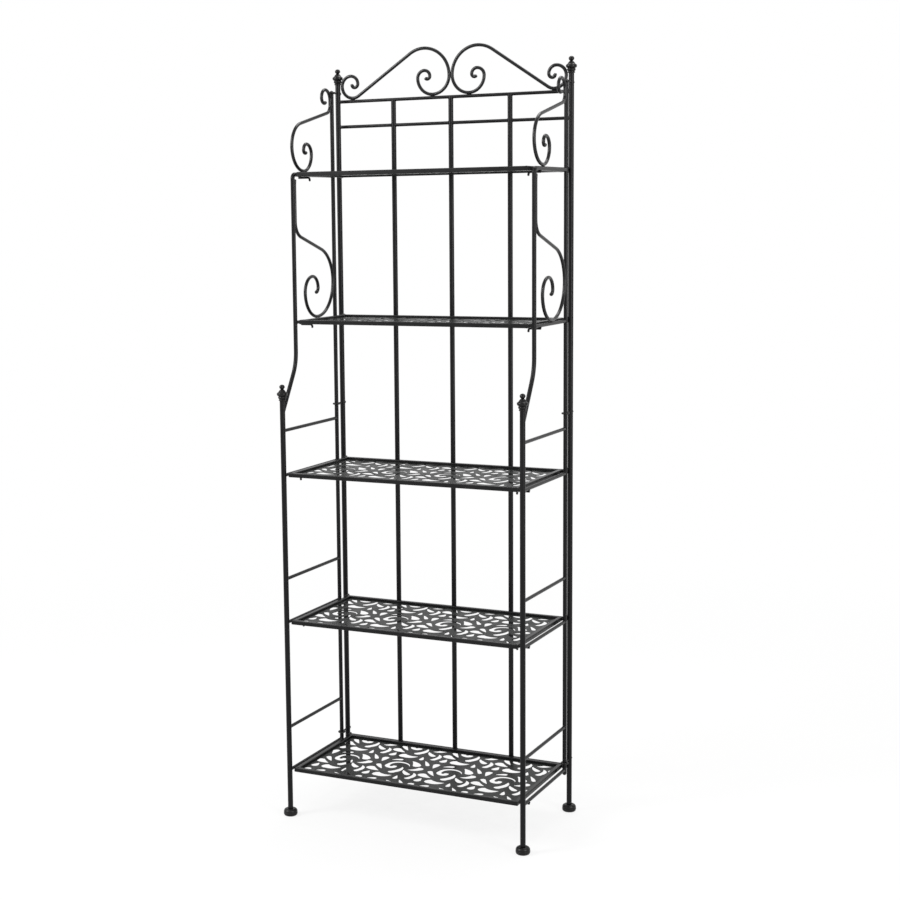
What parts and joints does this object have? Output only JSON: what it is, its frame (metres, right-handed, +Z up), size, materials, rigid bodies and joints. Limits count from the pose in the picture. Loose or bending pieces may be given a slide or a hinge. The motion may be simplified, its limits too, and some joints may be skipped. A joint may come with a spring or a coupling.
{
  "type": "folding bakers rack",
  "caption": "Folding steel bakers rack: back frame with scrolled crest, hinged side frames with scrolls, and fold-up pierced shelves on pegs.",
  "frame": {"origin": "on the floor, midway between the side frames and midway between the front and back posts", "axes": "+X to the right as seen from the front, +Y to the back, +Z up"},
  "size_m": [0.642, 0.344, 1.8525],
  "materials": {
    "frame_paint": "satin black powder coat on steel tube and rod",
    "scroll_paint": "satin black powder coat on bent steel rod",
    "finial_paint": "satin black powder coat on turned steel",
    "shelf_frame_paint": "satin black powder coat on square steel tube",
    "shelf_sheet_paint": "satin black powder coat on pierced steel sheet",
    "hardware_paint": "satin black paint on steel wire and nuts",
    "foot_plastic": "matt black moulded plastic"
  },
  "bodies": {
    "back_frame": {"back_post_left": "frame_paint", "back_foot_left": "foot_plastic", "back_finial_left": "finial_paint", "hinge_eye_bolts_left": "hardware_paint", "hinge_nuts_left": "hardware_paint", "shelf_pivot_lugs_left": "hardware_paint", "crest_scroll_left": "scroll_paint", "back_post_right": "frame_paint", "back_foot_right": "foot_plastic", "back_finial_right": "finial_paint", "hinge_eye_bolts_right": "hardware_paint", "hinge_nuts_right": "hardware_paint", "shelf_pivot_lugs_right": "hardware_paint", "crest_scroll_right": "scroll_paint", "back_bar_left": "frame_paint", "back_bar_middle": "frame_paint", "back_bar_right": "frame_paint", "crest_rail": "frame_paint", "second_rail": "frame_paint", "foot_rail": "frame_paint"},
    "left_side_frame": {"front_post_left": "frame_paint", "front_foot_left": "foot_plastic", "front_finial_left": "finial_paint", "hinge_post_left": "frame_paint", "upper_rod_left": "frame_paint", "rungs_left": "frame_paint", "shelf_rails_left": "frame_paint", "upper_scroll_left": "scroll_paint", "lower_scroll_left": "scroll_paint", "shelf_pegs_left": "hardware_paint"},
    "right_side_frame": {"front_post_right": "frame_paint", "front_foot_right": "foot_plastic", "front_finial_right": "finial_paint", "hinge_post_right": "frame_paint", "upper_rod_right": "frame_paint", "rungs_right": "frame_paint", "shelf_rails_right": "frame_paint", "upper_scroll_right": "scroll_paint", "lower_scroll_right": "scroll_paint", "shelf_pegs_right": "hardware_paint"},
    "top_shelf": {"top_shelf_frame": "shelf_frame_paint", "top_shelf_sheet": "shelf_sheet_paint", "top_shelf_pivot_pins": "hardware_paint"},
    "upper_shelf": {"upper_shelf_frame": "shelf_frame_paint", "upper_shelf_sheet": "shelf_sheet_paint", "upper_shelf_pivot_pins": "hardware_paint"},
    "middle_shelf": {"middle_shelf_frame": "shelf_frame_paint", "middle_shelf_sheet": "shelf_sheet_paint", "middle_shelf_pivot_pins": "hardware_paint"},
    "lower_shelf": {"lower_shelf_frame": "shelf_frame_paint", "lower_shelf_sheet": "shelf_sheet_paint", "lower_shelf_pivot_pins": "hardware_paint"},
    "bottom_shelf": {"bottom_shelf_frame": "shelf_frame_paint", "bottom_shelf_sheet": "shelf_sheet_paint", "bottom_shelf_pivot_pins": "hardware_paint"}
  },
  "joints": [
    {"name": "top_shelf_fold", "type": "hinge", "parent": "back_frame", "child": "top_shelf", "pos_m": [0, 0.14, 1.5513], "axis": [-1, 0, 0], "range_deg": [0, 90]},
    {"name": "upper_shelf_fold", "type": "hinge", "parent": "back_frame", "child": "upper_shelf", "pos_m": [0, 0.14, 1.2033], "axis": [-1, 0, 0], "range_deg": [0, 90]},
    {"name": "middle_shelf_fold", "type": "hinge", "parent": "back_frame", "child": "middle_shelf", "pos_m": [0, 0.14, 0.8433], "axis": [-1, 0, 0], "range_deg": [0, 90]},
    {"name": "lower_shelf_fold", "type": "hinge", "parent": "back_frame", "child": "lower_shelf", "pos_m": [0, 0.14, 0.4843], "axis": [-1, 0, 0], "range_deg": [0, 90]},
    {"name": "bottom_shelf_fold", "type": "hinge", "parent": "back_frame", "child": "bottom_shelf", "pos_m": [0, 0.14, 0.1163], "axis": [-1, 0, 0], "range_deg": [0, 90]},
    {"name": "left_side_swing", "type": "hinge", "parent": "back_frame", "child": "left_side_frame", "pos_m": [-0.304, 0.121, 0], "axis": [0, 0, -1], "range_deg": [0, 90]},
    {"name": "right_side_swing", "type": "hinge", "parent": "back_frame", "child": "right_side_frame", "pos_m": [0.304, 0.121, 0], "axis": [0, 0, 1], "range_deg": [0, 90]}
  ]
}
